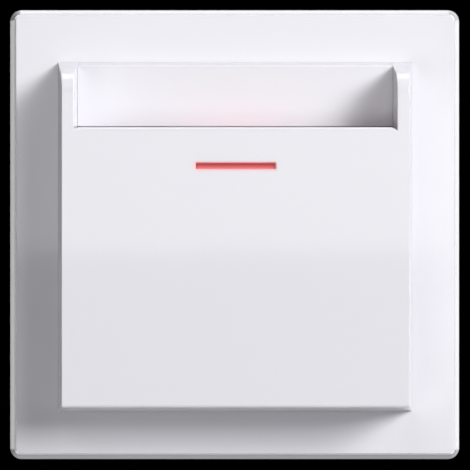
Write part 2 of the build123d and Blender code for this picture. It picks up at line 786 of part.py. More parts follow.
# Support frame: steel sheet on the wall, with slots for the wall box screws
support_opening_width = housing_width + 2 * support_opening_gap
support_opening_tall = housing_tall + 2 * support_opening_gap
with BuildPart() as support_frame:
    with BuildSketch(Plane.XZ):
        RectangleRounded(support_side, support_side, support_corner_radius)
        with Locations((box_screw_pitch / 2, 0), (-box_screw_pitch / 2, 0)):
            SlotOverall(box_slot_length, 2 * box_slot_radius, mode=Mode.SUBTRACT)
        with Locations((0, box_screw_pitch / 2), (0, -box_screw_pitch / 2)):
            SlotOverall(box_slot_length, 2 * box_slot_radius, rotation=90, mode=Mode.SUBTRACT)
    extrude(amount=support_wall)
    with BuildSketch(Plane.XZ):
        with Locations(*guide_screw_spots):
            Circle(support_collar_radius)
    extrude(amount=support_collar_level)
    with BuildSketch(Plane.XZ.offset(-cut_overrun)):
        with Locations(*guide_screw_spots):
            Circle(guide_screw_radius + fit_gap)
        Polygon(*cut_corners(support_opening_width, support_opening_tall, housing_chamfer), align=None)
    extrude(amount=support_collar_level + 2 * cut_overrun, mode=Mode.SUBTRACT)
    # Tabs folded over the housing's flange
    for rise_side in (-1, 1):
        for side in (-1, 1):
            fold_middle = (side * fold_place, rise_side * fold_outer_rise)
            with BuildSketch(Plane.XZ):
                with Locations(fold_middle):
                    Rectangle(
                        fold_width,
                        fold_wall,
                        align=(Align.CENTER, Align.MAX if rise_side > 0 else Align.MIN),
                    )
            extrude(amount=fold_level + fold_wall)
            with BuildSketch(Plane.XZ.offset(fold_level)):
                with Locations(fold_middle):
                    Rectangle(
                        fold_width,
                        fold_outer_rise - fold_inner_rise,
                        align=(Align.CENTER, Align.MAX if rise_side > 0 else Align.MIN),
                    )
            extrude(amount=fold_wall)
    # Tabs at the top with windows for the guide's barbs
    with BuildSketch(Plane.XZ):
        with Locations((-support_tab_place, support_tab_rise), (support_tab_place, support_tab_rise)):
            Rectangle(support_tab_width, support_tab_wall, align=(Align.CENTER, Align.MIN))
    extrude(amount=support_tab_level)
    with BuildSketch(Plane.XZ.offset(snap_window_level)):
        with Locations((-support_tab_place, support_tab_rise), (support_tab_place, support_tab_rise)):
            Rectangle(snap_window_width, 2 * support_tab_wall)
            with Locations((0, support_tab_wall)):
                Rectangle(snap_window_width, 2 * support_tab_wall)
    extrude(amount=snap_window_height, mode=Mode.SUBTRACT)
finish(support_frame.part, "support_frame")

# Switch housing: an open box with chamfered corners behind the wall plane
with BuildPart() as mechanism_housing:
    with BuildSketch(Plane.XZ.offset(housing_back_level)):
        Polygon(*cut_corners(housing_width, housing_tall, housing_chamfer), align=None)
    extrude(amount=housing_rim_level - housing_back_level)
    with BuildSketch(Plane.XZ.offset(support_wall)):
        Rectangle(housing_width + 2 * housing_flange, housing_tall + 2 * housing_flange)
    extrude(amount=housing_flange_wall)
    with BuildSketch(Plane.XZ.offset(housing_floor_level)):
        Polygon(
            *cut_corners(2 * housing_inner_half, 2 * housing_inner_rise, housing_inner_chamfer), align=None
        )
    extrude(amount=housing_rim_level - housing_floor_level + cut_overrun, mode=Mode.SUBTRACT)
    # Bridge that guides the plunger and carries its spring
    with BuildSketch(Plane.XZ.offset(bridge_level - bridge_wall)):
        with Locations((0, plunger_rise)):
            Rectangle(housing_width - housing_wall, 2 * bridge_drop)
            Circle(plunger_radius + side_gap, mode=Mode.SUBTRACT)
    extrude(amount=bridge_wall)
    # Bosses for the cover's screws
    with BuildSketch(Plane.XZ.offset(housing_rim_level - screw_boss_depth)):
        with Locations((-cover_screw_place, 0), (cover_screw_place, 0)):
            Circle(screw_boss_radius)
        for side in (-1, 1):
            with Locations((side * cover_screw_place, 0)):
                Rectangle(
                    housing_width / 2 - housing_wall / 2 - cover_screw_place,
                    2 * screw_boss_radius,
                    align=(Align.MIN if side > 0 else Align.MAX, Align.CENTER),
                )
    extrude(amount=screw_boss_depth)
    with BuildSketch(Plane.XZ.offset(housing_rim_level - screw_boss_depth - cut_overrun)):
        with Locations((-cover_screw_place, 0), (cover_screw_place, 0)):
            Circle(cover_screw_radius + fit_gap)
    extrude(amount=screw_boss_depth + 2 * cut_overrun, mode=Mode.SUBTRACT)
    # Ledges under the lamp board
    with BuildSketch(Plane.XZ.offset(board_level - board_ledge_height)):
        for rise_side in (-1, 1):
            with Locations(
                (-board_ledge_place, rise_side * housing_inner_rise),
                (board_ledge_place, rise_side * housing_inner_rise),
            ):
                Rectangle(board_ledge_width, 2 * board_ledge_depth)
        Polygon(
            *cut_corners(housing_width, housing_tall, housing_chamfer), align=None, mode=Mode.INTERSECT
        )
    extrude(amount=board_ledge_height)
    # Separators between the terminals, which seat the strips
    with BuildSketch(Plane.XZ.offset(housing_floor_level - housing_rear_wall / 2)):
        with Locations((-separator_place, 0), (separator_place, 0)):
            Rectangle(separator_wall, housing_tall - housing_wall)
    extrude(amount=strip_back_level - housing_floor_level + housing_rear_wall / 2)
    # Seat and guide of the contact spring
    with BuildSketch(Plane.XZ.offset(housing_floor_level - housing_rear_wall / 2)):
        with Locations((0, contact_spring_rise)):
            Circle(contact_spring_seat_radius)
    extrude(amount=contact_spring_seat_height + housing_rear_wall / 2)
    with BuildSketch(Plane.XZ.offset(housing_floor_level)):
        with Locations((0, contact_spring_rise)):
            Circle(contact_spring_guide_radius)
    extrude(amount=contact_spring_guide_height)
    # Wire entries in the rear wall and holes for the screwdriver in the sides
    for side, rise_side in terminal_places:
        with BuildSketch(Plane.XZ.offset(housing_back_level - cut_overrun)):
            with Locations((side * terminal_place, rise_side * wire_bore_rise)):
                Circle(wire_bore_radius)
        extrude(amount=housing_rear_wall + 2 * cut_overrun, mode=Mode.SUBTRACT)
        terminal_axis = Plane(
            origin=(side * terminal_place, -terminal_level, 0), x_dir=(1, 0, 0), z_dir=(0, 0, rise_side)
        )
        with BuildSketch(terminal_axis.offset(housing_inner_rise - cut_overrun)):
            Circle(driver_bore_radius)
        extrude(amount=housing_wall + 2 * cut_overrun, mode=Mode.SUBTRACT)
finish(mechanism_housing.part, "mechanism_housing")

# Front cover of the housing, with the plunger's bush
with BuildPart() as mechanism_cover:
    with BuildSketch(Plane.XZ.offset(housing_rim_level)):
        Polygon(*cut_corners(housing_width, housing_tall, housing_chamfer), align=None)
    extrude(amount=mechanism_cover_wall)
    with BuildSketch(Plane.XZ.offset(bush_back_level)):
        with Locations((0, plunger_rise)):
            Circle(plunger_radius + fit_gap + bush_wall)
    extrude(amount=mechanism_face_level - bush_back_level)
    with BuildSketch(Plane.XZ.offset(bush_back_level - cut_overrun)):
        with Locations((0, plunger_rise)):
            Circle(plunger_radius + fit_gap)
        with Locations((0, window_rise)):
            Circle(lamp_radius + side_gap)
        with Locations((-cover_screw_place, 0), (cover_screw_place, 0)):
            Circle(cover_screw_radius + side_gap)
    extrude(amount=mechanism_face_level - bush_back_level + 2 * cut_overrun, mode=Mode.SUBTRACT)
finish(mechanism_cover.part, "mechanism_cover")

with BuildPart() as cover_screws:
    with BuildSketch(Plane.XZ.offset(mechanism_face_level - cover_screw_length)):
        with Locations((-cover_screw_place, 0), (cover_screw_place, 0)):
            Circle(cover_screw_radius)
    extrude(amount=cover_screw_length)
    with BuildSketch(Plane.XZ.offset(mechanism_face_level)):
        with Locations((-cover_screw_place, 0), (cover_screw_place, 0)):
            Circle(cover_screw_head_radius)
    extrude(amount=cover_screw_head_height)
    with BuildSketch(Plane.XZ.offset(mechanism_face_level + cover_screw_head_height / 2)):
        with Locations((-cover_screw_place, 0), (cover_screw_place, 0)):
            Rectangle(2 * cover_screw_radius, driver_slot_width)
            Rectangle(driver_slot_width, 2 * cover_screw_radius)
    extrude(amount=cover_screw_head_height, mode=Mode.SUBTRACT)
finish(cover_screws.part, "cover_screws")

# Plunger between the paddle's heel and the contact arm
with BuildPart() as plunger:
    with BuildSketch(Plane.XZ.offset(plunger_tip_level)):
        with Locations((0, plunger_rise)):
            Circle(plunger_radius)
    extrude(amount=plunger_front_level - plunger_tip_level)
    fillet(plunger.edges().filter_by(GeomType.CIRCLE), plunger_end_radius)
    with BuildSketch(Plane.XZ.offset(plunger_collar_level - plunger_collar_wall)):
        with Locations((0, plunger_rise)):
            Circle(plunger_collar_radius)
    extrude(amount=plunger_collar_wall)
finish(plunger.part, "plunger")

plunger_spring_part = coil(
    (0, -(plunger_collar_level - plunger_collar_wall), plunger_rise),
    (0, 1, 0),
    plunger_collar_level - plunger_collar_wall - bridge_level,
    plunger_radius + free_gap / 2 + plunger_spring_wire,
    plunger_spring_wire,
    plunger_spring_turns,
)
finish(plunger_spring_part, "plunger_spring")

# Contact arm: a strip with a rolled eye, swinging on the pin of the common strip
arm_axis = Plane(origin=(0, -arm_pivot_level, arm_pivot_rise), x_dir=(0, 1, 0), z_dir=(1, 0, 0))
with BuildPart() as contact_arm:
    with BuildSketch(Plane.XZ.offset(arm_back_level)):
        with Locations((0, arm_pivot_rise)):
            Rectangle(arm_width, arm_pivot_rise - arm_foot_rise, align=(Align.CENTER, Align.MAX))
    extrude(amount=arm_wall)
    with BuildSketch(arm_axis):
        Circle(arm_eye_radius)
    extrude(amount=arm_eye_width / 2, both=True)
    with BuildSketch(arm_axis):
        Circle(arm_pin_radius + fit_gap)
    extrude(amount=arm_eye_width, both=True, mode=Mode.SUBTRACT)
    with BuildSketch(Plane.XZ.offset(arm_back_level - cut_overrun)):
        with Locations((0, contact_rise)):
            Circle(contact_stem_radius)
    extrude(amount=arm_wall + 2 * cut_overrun, mode=Mode.SUBTRACT)
finish(contact_arm.part, "contact_arm")

with BuildPart() as moving_contact:
    with BuildSketch(Plane.XZ.offset(moving_contact_level)):
        with Locations((0, contact_rise)):
            Circle(contact_radius)
    extrude(amount=contact_height)
    with BuildSketch(Plane.XZ.offset(arm_back_level)):
        with Locations((0, contact_rise)):
            Circle(contact_stem_radius)
    extrude(amount=arm_wall)
finish(moving_contact.part, "moving_contact")

with BuildPart() as arm_pin:
    with BuildSketch(arm_axis):
        Circle(arm_pin_radius)
    extrude(amount=arm_lug_inner + strip_wall, both=True)
finish(arm_pin.part, "arm_pin")

contact_spring_seat_level = housing_floor_level + contact_spring_seat_height
contact_spring_part = coil(
    (0, -arm_back_level, contact_spring_rise),
    (0, 1, 0),
    arm_back_level - contact_spring_seat_level,
    contact_spring_radius,
    contact_spring_wire,
    contact_spring_turns,
)
finish(contact_spring_part, "contact_spring")


def terminal_bar(side, rise_side):
    """The tongue of a strip inside a clamp cage."""
    near = rise_side * terminal_bar_rise
    far = rise_side * (terminal_bar_rise + strip_wall)
    middle = side * terminal_place
    return box(
        (middle - terminal_bar_width / 2, middle + terminal_bar_width / 2),
        (cage_back_level + side_gap, strip_front_level),
        (min(near, far), max(near, far)),
    )


# Common strip: terminal 1, a plate behind the arm's eye and two lugs for its pin
plate_levels = (strip_back_level, strip_front_level)
plate_top = arm_pivot_rise + 2 * arm_lug_half_height
plate_bottom = arm_pivot_rise - arm_lug_half_height
plate_end = terminal_place + terminal_bar_width / 2
with BuildPart() as common_strip:
    add(terminal_bar(-1, 1))
    add(box((-plate_end, arm_lug_inner + strip_wall), plate_levels, (plate_bottom, plate_top)))
    for side in (-1, 1):
        lug_range = sorted((side * arm_lug_inner, side * (arm_lug_inner + strip_wall)))
        lug_front = arm_pivot_level + arm_lug_half_height
        add(box(lug_range, (strip_front_level, lug_front), (plate_bottom, plate_top)))
    with BuildSketch(arm_axis):
        Circle(arm_pin_radius)
    extrude(amount=arm_lug_inner + 2 * strip_wall, both=True, mode=Mode.SUBTRACT)
finish(common_strip.part, "common_strip")

# Output strip: terminal 4 and the plate of the fixed contact
output_top = -terminal_bar_rise
output_bottom = contact_rise - fixed_contact_radius - strip_wall
with BuildPart() as output_strip:
    add(terminal_bar(1, -1))
    add(box((-fixed_contact_radius - strip_wall, plate_end), plate_levels, (output_bottom, output_top)))
    with BuildSketch(Plane.XZ.offset(strip_back_level - cut_overrun)):
        with Locations((0, contact_rise)):
            Circle(contact_stem_radius)
    extrude(amount=strip_wall + 2 * cut_overrun, mode=Mode.SUBTRACT)
finish(output_strip.part, "output_strip")

with BuildPart() as fixed_contact:
    with BuildSketch(Plane.XZ.offset(strip_front_level)):
        with Locations((0, contact_rise)):
            Circle(fixed_contact_radius)
    extrude(amount=fixed_contact_height)
    with BuildSketch(Plane.XZ.offset(strip_back_level)):
        with Locations((0, contact_rise)):
            Circle(contact_stem_radius)
    extrude(amount=strip_wall)
finish(fixed_contact.part, "fixed_contact")

# Lamp strips: terminals 2 and 3, each with a riser up to the lamp board
lamp_strip_inner = separator_place - separator_wall / 2
riser_range = (riser_place, riser_place + riser_width)
riser_rises = (riser_rise, riser_rise + strip_wall)
with BuildPart() as lamp_feed_strip:
    add(terminal_bar(1, 1))
    add(box((lamp_strip_inner, riser_range[1]), plate_levels, (terminal_bar_rise, riser_rises[1])))
    add(box(riser_range, (strip_back_level, board_level), riser_rises))
finish(lamp_feed_strip.part, "lamp_feed_strip")

with BuildPart() as lamp_return_strip:
    add(terminal_bar(-1, -1))
    add(box((-riser_range[1], -lamp_strip_inner), plate_levels, (-riser_rises[1], -terminal_bar_rise)))
    low_riser_range = (-riser_range[1], -riser_range[0])
    low_riser_rises = (-riser_rises[1], -riser_rises[0])
    add(box(low_riser_range, (strip_back_level, board_level), low_riser_rises))
finish(lamp_return_strip.part, "lamp_return_strip")

# Clamp screws and cages, the lower pair turned upside down
for number, (side, rise_side) in enumerate(terminal_places, start=1):
    terminal_axis = Plane(
        origin=(side * terminal_place, -terminal_level, 0), x_dir=(1, 0, 0), z_dir=(0, 0, rise_side)
    )
    tip_rise = terminal_bar_rise + strip_wall + seat_gap
    with BuildPart() as terminal_screw:
        with BuildSketch(terminal_axis.offset(tip_rise)):
            Circle(terminal_screw_radius)
        extrude(amount=terminal_head_rise - tip_rise)
        with BuildSketch(terminal_axis.offset(terminal_head_rise)):
            Circle(terminal_screw_head_radius)
        extrude(amount=terminal_screw_head_height)
        with BuildSketch(terminal_axis.offset(terminal_head_rise + terminal_screw_head_height)):
            Rectangle(2 * terminal_screw_head_radius, driver_slot_width)
        extrude(amount=-terminal_screw_head_height / 2, mode=Mode.SUBTRACT)
    finish(terminal_screw.part, f"terminal_screw_{number}")
    with BuildPart() as terminal_cage:
        with BuildSketch(terminal_axis.offset(cage_opening_bottom - cage_floor_wall)):
            Rectangle(2 * cage_half_width, cage_length)
        extrude(amount=cage_opening_top + cage_roof_wall - cage_opening_bottom + cage_floor_wall)
        with BuildSketch(terminal_axis.offset(cage_opening_bottom)):
            Rectangle(cage_inner_width, cage_length + 2 * cut_overrun)
        extrude(amount=cage_opening_top - cage_opening_bottom, mode=Mode.SUBTRACT)
        with BuildSketch(terminal_axis.offset(cage_opening_top - seat_gap)):
            Circle(terminal_screw_radius + fit_gap)
        extrude(amount=cage_roof_wall + cut_overrun, mode=Mode.SUBTRACT)
    finish(terminal_cage.part, f"terminal_cage_{number}")

# Lamp board with its lamp and resistor
with BuildPart() as lamp_board:
    with BuildSketch(Plane.XZ.offset(board_level)):
        Rectangle(board_width, board_tall)
        with Locations((0, plunger_rise)):
            Circle(plunger_radius + fit_gap + bush_wall + board_bush_gap, mode=Mode.SUBTRACT)
    extrude(amount=board_wall)
finish(lamp_board.part, "lamp_board")

board_front_level = board_level + board_wall
with BuildPart() as indicator_lamp:
    with BuildSketch(Plane.XZ.offset(board_front_level)):
        with Locations((0, window_rise)):
            Circle(lamp_radius)
    extrude(amount=lamp_level - board_front_level)
    lamp_top = indicator_lamp.faces().sort_by(Axis.Y)[0]
    fillet(lamp_top.edges(), lamp_radius / 2)
finish(indicator_lamp.part, "indicator_lamp")

with BuildPart() as resistor:
    resistor_level = board_level - resistor_radius - side_gap
    with BuildSketch(Plane.YZ):
        with Locations((-resistor_level, resistor_rise)):
            Circle(resistor_radius)
    extrude(amount=resistor_length / 2, both=True)
    with BuildSketch(Plane.YZ):
        with Locations((-resistor_level, resistor_rise)):
            Circle(resistor_lead_radius)
    extrude(amount=resistor_lead_pitch / 2 + resistor_lead_radius, both=True)
    with BuildSketch(Plane.XZ.offset(resistor_level)):
        with Locations((-resistor_lead_pitch / 2, resistor_rise), (resistor_lead_pitch / 2, resistor_rise)):
            Circle(resistor_lead_radius)
    extrude(amount=board_level - resistor_level)
finish(resistor.part, "resistor")
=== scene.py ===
import math

import bpy
import numpy as np
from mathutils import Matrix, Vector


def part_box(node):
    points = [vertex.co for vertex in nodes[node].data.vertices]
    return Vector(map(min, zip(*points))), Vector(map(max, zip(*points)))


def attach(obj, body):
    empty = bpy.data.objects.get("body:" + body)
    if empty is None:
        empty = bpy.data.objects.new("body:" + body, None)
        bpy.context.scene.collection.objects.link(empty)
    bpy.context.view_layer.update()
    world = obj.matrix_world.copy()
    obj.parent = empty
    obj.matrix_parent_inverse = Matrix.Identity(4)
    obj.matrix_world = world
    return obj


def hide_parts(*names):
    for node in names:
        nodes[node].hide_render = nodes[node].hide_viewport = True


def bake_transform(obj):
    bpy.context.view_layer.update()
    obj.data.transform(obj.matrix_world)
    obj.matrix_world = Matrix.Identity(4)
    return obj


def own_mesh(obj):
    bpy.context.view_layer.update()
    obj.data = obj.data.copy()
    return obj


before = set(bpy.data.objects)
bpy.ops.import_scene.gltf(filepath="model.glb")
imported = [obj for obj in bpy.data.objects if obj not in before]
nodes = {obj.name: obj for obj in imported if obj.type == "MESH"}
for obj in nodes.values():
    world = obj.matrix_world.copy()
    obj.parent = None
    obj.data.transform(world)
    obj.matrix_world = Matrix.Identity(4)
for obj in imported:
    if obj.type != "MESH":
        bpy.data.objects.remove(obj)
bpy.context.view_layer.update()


# Support frame: the folded sheet steel plate that the wall box screws hold against the wall.
# Zinc plated and passivated after pressing, so it is satin, a little blue and cloudy, with
# the rolling direction of the sheet still showing as fine level streaks.
class Shade:
    """A value in a material: arithmetic on it, with another value or a number, makes Math nodes."""

    def __init__(self, tree, socket):
        self.tree = tree
        self.socket = socket

    def feed(self, socket, value):
        """Links a shader value to a socket, or sets the socket to a constant."""
        if isinstance(value, Shade):
            self.tree.links.new(value.socket, socket)
        else:
            socket.default_value = value

    def math(self, operation, first, second):
        """A Math node of two values, each a shader value or a number."""
        made = self.tree.nodes.new("ShaderNodeMath")
        made.operation = operation
        self.feed(made.inputs[0], first)
        self.feed(made.inputs[1], second)
        return Shade(self.tree, made.outputs[0])

    def node(self, kind, inputs, output=0, **settings):
        """Any other node: its inputs by name or number, its settings by name, and one output."""
        made = self.tree.nodes.new("ShaderNode" + kind)
        for name, value in settings.items():
            setattr(made, name, value)
        for name, value in inputs.items():
            self.feed(made.inputs[name], value)
        return Shade(self.tree, made.outputs[output])

    def __add__(self, other):
        return self.math("ADD", self, other)

    def __radd__(self, other):
        return self.math("ADD", other, self)

    def __sub__(self, other):
        return self.math("SUBTRACT", self, other)

    def __rsub__(self, other):
        return self.math("SUBTRACT", other, self)

    def __mul__(self, other):
        return self.math("MULTIPLY", self, other)

    def __rmul__(self, other):
        return self.math("MULTIPLY", other, self)

    def __truediv__(self, other):
        return self.math("DIVIDE", self, other)

    def __rtruediv__(self, other):
        return self.math("DIVIDE", other, self)

    def __pow__(self, other):
        return self.math("POWER", self, other)

    def __rpow__(self, other):
        return self.math("POWER", other, self)


def begin(name):
    """A new material, its shader and its Object coordinates as a shader value."""
    made = bpy.data.materials.new(name)
    made.use_nodes = True
    tree = made.node_tree
    shader = tree.nodes["Principled BSDF"]
    return made, shader, Shade(tree, tree.nodes.new("ShaderNodeTexCoord").outputs["Object"])


def noise(place, scale, detail=2.0):
    """Smooth noise from minus a half to a half, with its features 1 / scale metres wide."""
    return place.node("TexNoise", {"Vector": place, "Scale": scale, "Detail": detail}) - 0.5


def shaded(colour, amount):
    """A colour made lighter or darker by a share that varies over the surface."""
    grey = amount.node("CombineColor", {"Red": amount + 1, "Green": amount + 1, "Blue": amount + 1})
    return amount.node("Mix", {0: 1.0, 6: (*colour, 1), 7: grey}, 2,
                       data_type="RGBA", blend_type="MULTIPLY")


def relief(place, height, depth):
    """The normal of a surface whose height varies by a share of the depth, in metres."""
    return place.node("Bump", {"Height": height, "Distance": depth, "Strength": 1.0})


def dress(material, *names):
    """Gives CAD nodes a material on their objects' own slots, which leaves their meshes alone."""
    for name in names:
        for held in nodes[name].material_slots:
            held.link = "OBJECT"
            held.material = material


def metal(name, colour, rough, streaks, cloud):
    """Metal with streaks drawn along one direction: the streak scales are counts per metre."""
    streak_depth = 0.000004
    cloud_scale = 260.0
    made, shader, place = begin(name)
    drawn = place.node("Mapping", {"Vector": place, "Scale": streaks})
    streak = noise(drawn, 1.0, 3.0)
    clouds = noise(place, cloud_scale, 3.0)
    place.feed(shader.inputs["Base Color"], shaded(colour, streak * 0.10 + clouds * cloud))
    place.feed(shader.inputs["Roughness"], streak * 0.12 + clouds * 0.10 + rough)
    place.feed(shader.inputs["Normal"], relief(place, streak, streak_depth))
    shader.inputs["Metallic"].default_value = 1.0
    return made


zinc_colour = (0.60, 0.62, 0.66)
zinc = metal("zinc_steel", zinc_colour, rough=0.36, streaks=(300.0, 300.0, 9000.0), cloud=0.22)
dress(zinc, "support_frame")


# Mechanism housing and its front cover: the moulded switch body that sits in the wall box, grey
# glass filled nylon with a fine eroded texture from the tool. The cover is a lighter grey and is
# held by two screws; both stay unpolished, as nothing of them shows once the switch is fitted.
def textured(name, colour, rough, grain, depth):
    """Moulded plastic: an eroded tool's even grain as relief, faint flow clouds in its colour."""
    flow_scale = 90.0
    made, shader, place = begin(name)
    pits = noise(place, grain, 4.0)
    flow = noise(place, flow_scale)
    place.feed(shader.inputs["Base Color"], shaded(colour, pits * 0.05 + flow * 0.06))
    place.feed(shader.inputs["Roughness"], pits * 0.16 + flow * 0.05 + rough)
    place.feed(shader.inputs["Normal"], relief(place, pits, depth))
    return made


housing_grey = (0.20, 0.205, 0.215)
cover_grey = (0.46, 0.47, 0.48)
eroded_grain = 5200.0
dress(textured("grey_plastic", housing_grey, rough=0.52, grain=eroded_grain, depth=0.00002),
      "mechanism_housing")
dress(textured("light_grey_plastic", cover_grey, rough=0.46, grain=eroded_grain, depth=0.000016),
      "mechanism_cover")


# Current carrying strips of the mechanism: four pieces of stamped and bent half hard brass.
# They slide into slots of the housing and hold there by the terminal bars and the cover.
# Rolled sheet, so the streaks run level, with the brown tint of brass that has stood in air.
brass_colour = (0.80, 0.60, 0.28)
brass = metal("strip_brass", brass_colour, rough=0.30, streaks=(350.0, 350.0, 12000.0), cloud=0.18)
dress(brass, "common_strip", "output_strip", "lamp_feed_strip", "lamp_return_strip", "contact_arm")


# Contact rivets: silver alloy heads of the moving arm and of the output strip, cold headed and
# then clinched through the brass. Turned and tumbled, with a few dull spots where they meet.
silver_colour = (0.86, 0.85, 0.82)
silver = metal("contact_silver", silver_colour, rough=0.24, streaks=(5000.0, 5000.0, 5000.0),
               cloud=0.16)
dress(silver, "fixed_contact", "moving_contact")


# Terminal screws and cages, pins and small screws: turned or pressed steel with bright zinc.
# The screws pull their cages towards the strips' bars and clamp the wires between them.
# Fine rings from turning show on pins and screw heads, and rubbed spots on the cages.
bright_colour = (0.70, 0.71, 0.73)
bright = metal("bright_steel", bright_colour, rough=0.24, streaks=(9000.0, 700.0, 9000.0),
               cloud=0.14)
dress(bright, "guide_screws", "cover_screws", "paddle_pin", "arm_pin")
for number in (1, 2, 3, 4):
    dress(bright, f"terminal_screw_{number}")
    dress(zinc, f"terminal_cage_{number}")


# Lamp board: glass filled epoxy with green solder mask over copper tracks, stood in the housing.
# It is cut from a panel, so its edges show the bare straw coloured laminate. The tracks run
# along the board as slightly raised and lighter bands under the mask.
def mixed(share, first, second):
    """Goes from the first colour to the second one by a share that varies over the surface."""
    first, second = (c if isinstance(c, Shade) else (*c, 1) for c in (first, second))
    return share.node("Mix", {0: share, 6: first, 7: second}, 2, data_type="RGBA")


def coordinates(place):
    """The x, y and z of a place, each as a shader value."""
    apart = place.node("SeparateXYZ", {"Vector": place})
    return [Shade(apart.tree, output) for output in apart.socket.node.outputs]


def ramp(value, low, high):
    """A share that is 0 where the value is low and 1 where it is high, and even between them."""
    return value.node("MapRange", {"Value": value, "From Min": low, "From Max": high})


def away_from(value, middle):
    """How far a value is from a middle one, on either side."""
    return value.node("Math", {0: value - middle}, operation="ABSOLUTE")


def board_material():
    """Solder mask over tracks that are a square wave across the board, and bare edges round it."""
    track_pitch = 0.0026
    track_height = 0.00003
    track_flanks = (0.25, 0.45)
    edge_wide = 0.00012
    mask = (0.010, 0.115, 0.045)
    lit_track = (0.022, 0.21, 0.075)
    laminate = (0.42, 0.36, 0.20)
    made, shader, place = begin("board_green")
    lowest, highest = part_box("lamp_board")
    across, _, tall = coordinates(place)
    half_wide = (highest.x - lowest.x) / 2
    wave = place.node("Math", {0: tall * (2 * math.pi / track_pitch)}, operation="SINE")
    track = ramp(wave, *track_flanks)
    off_middle = away_from(across, (lowest.x + highest.x) / 2)
    rim = ramp(off_middle, half_wide - edge_wide, half_wide - edge_wide / 2)
    green = mixed(track, mask, lit_track)
    place.feed(shader.inputs["Base Color"], mixed(rim, green, laminate))
    place.feed(shader.inputs["Roughness"], noise(place, 900.0) * 0.12 + rim * 0.35 + 0.22)
    place.feed(shader.inputs["Normal"], relief(place, track, track_height))
    return made


dress(board_material(), "lamp_board")


# Series resistor of the lamp, a quarter watt body of lacquered ceramic with four colour bands.
# It is laid on the board and soldered by its bent wires. The bands go round the body, across
# its length, and the lacquer is glossy and slightly uneven.
def resistor_material():
    """Four bands across the body's length, each a short step of a distance along the body."""
    band_half = 0.045
    bands = ((0.20, (0.45, 0.03, 0.02)), (0.37, (0.22, 0.04, 0.26)),
             (0.54, (0.08, 0.03, 0.015)), (0.80, (0.55, 0.38, 0.10)))
    lacquer_waves = 0.00004
    made, shader, place = begin("resistor_body")
    lowest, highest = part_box("resistor")
    size = highest - lowest
    along = max(range(3), key=lambda i: size[i])
    share = (coordinates(place)[along] - lowest[along]) / size[along]
    colour = (0.62, 0.50, 0.34)
    for middle, paint in bands:
        inside = place.node("Math", {0: away_from(share, middle), 1: band_half},
                            operation="LESS_THAN")
        colour = mixed(inside, colour, paint)
    place.feed(shader.inputs["Base Color"], colour)
    place.feed(shader.inputs["Roughness"], noise(place, 1500.0) * 0.15 + 0.25)
    place.feed(shader.inputs["Normal"], relief(place, noise(place, 1800.0), lacquer_waves))
    return made


dress(resistor_material(), "resistor")


# Indicator lamp: a red light emitting diode in a domed case of dyed epoxy, soldered to the board
# so that its dome faces the light guide. It is lit in the photograph, brightest at its core,
# which the case's tint turns into a deep even red.
def lamp_material():
    """Dyed epoxy with faint swirls, lit from inside."""
    case_red = (0.55, 0.015, 0.012)
    light_red = (1.0, 0.035, 0.02)
    made, shader, place = begin("red_lamp")
    swirl = noise(place, 700.0)
    place.feed(shader.inputs["Base Color"], shaded(case_red, swirl * 0.2))
    place.feed(shader.inputs["Roughness"], swirl * 0.08 + 0.12)
    place.feed(shader.inputs["Emission Color"], shaded(light_red, swirl * 0.3))
    shader.inputs["Emission Strength"].default_value = 5.0
    shader.inputs["Subsurface Weight"].default_value = 0.3
    shader.inputs["Subsurface Radius"].default_value = (0.002, 0.0002, 0.0002)
    return made


dress(lamp_material(), "indicator_lamp")


# Return springs of the plunger and of the contact arm: cold wound spring steel wire with closed
# ends, slipped over the plunger's rod and over the housing's peg. In the switch both shorten as
# the paddle goes in; here each is drawn once, the length of its CAD node.
def wire(name, path, radius, axis, around=14):
    """A round wire: at each point of the path a circle squared to the path by the coil's axis.

    side = path direction x axis and up = side x direction; a surface point is the path's point
    plus radius times (side cos a + up sin a). Discs close both ends."""
    path = np.asarray(path, float)
    direction = np.gradient(path, axis=0)
    direction /= np.linalg.norm(direction, axis=1, keepdims=True)
    side = np.cross(direction, np.asarray(axis, float))
    side /= np.linalg.norm(side, axis=1, keepdims=True)
    up = np.cross(side, direction)
    angle = np.linspace(0, 2 * math.pi, around, endpoint=False)[None, :, None]
    circle = np.cos(angle) * side[:, None, :] + np.sin(angle) * up[:, None, :]
    rings = path[:, None, :] + radius * circle
    count = len(path)
    along, round_it = np.meshgrid(np.arange(count - 1), np.arange(around), indexing="ij")
    following = (round_it + 1) % around
    quads = np.stack([along * around + round_it, along * around + following,
                      (along + 1) * around + following, (along + 1) * around + round_it], axis=-1)
    faces = quads.reshape(-1, 4).tolist()
    faces.append(list(range(around))[::-1])
    faces.append(list(range((count - 1) * around, count * around)))
    mesh = bpy.data.meshes.new(name)
    mesh.from_pydata(rings.reshape(-1, 3).tolist(), [], faces)
    mesh.shade_smooth()
    made = bpy.data.objects.new(name, mesh)
    bpy.context.scene.collection.objects.link(made)
    return made


def wound(low_end, high_end, radius, wire_radius, turns, x, z):
    """The middle line of a coil along y with closed ends.

    The turning angle grows evenly. The rise per turn is about one wire across in the first and
    last half turn and an even, wider pitch in the middle, eased over the half turns between."""
    points_per_turn = 48
    closed_turns = 0.5
    ease_turns = 0.5
    closed_rise = 2.05 * wire_radius
    turned = np.linspace(0, turns, int(turns * points_per_turn) + 1)
    from_end = np.minimum(turned, turns - turned)
    open_share = np.clip((from_end - closed_turns) / ease_turns, 0, 1)
    open_share = open_share * open_share * (3 - 2 * open_share)
    length = high_end - low_end - 2 * wire_radius
    step = turned[1]
    open_turns = np.sum((open_share[1:] + open_share[:-1]) / 2) * step
    extra = (length - closed_rise * turns) / open_turns
    rise = closed_rise + extra * open_share
    climbed = np.concatenate([[0], np.cumsum((rise[1:] + rise[:-1]) / 2 * step)])
    y = low_end + wire_radius + climbed
    angle = 2 * math.pi * turned
    return np.stack([x + radius * np.cos(angle), y, z + radius * np.sin(angle)], axis=1)


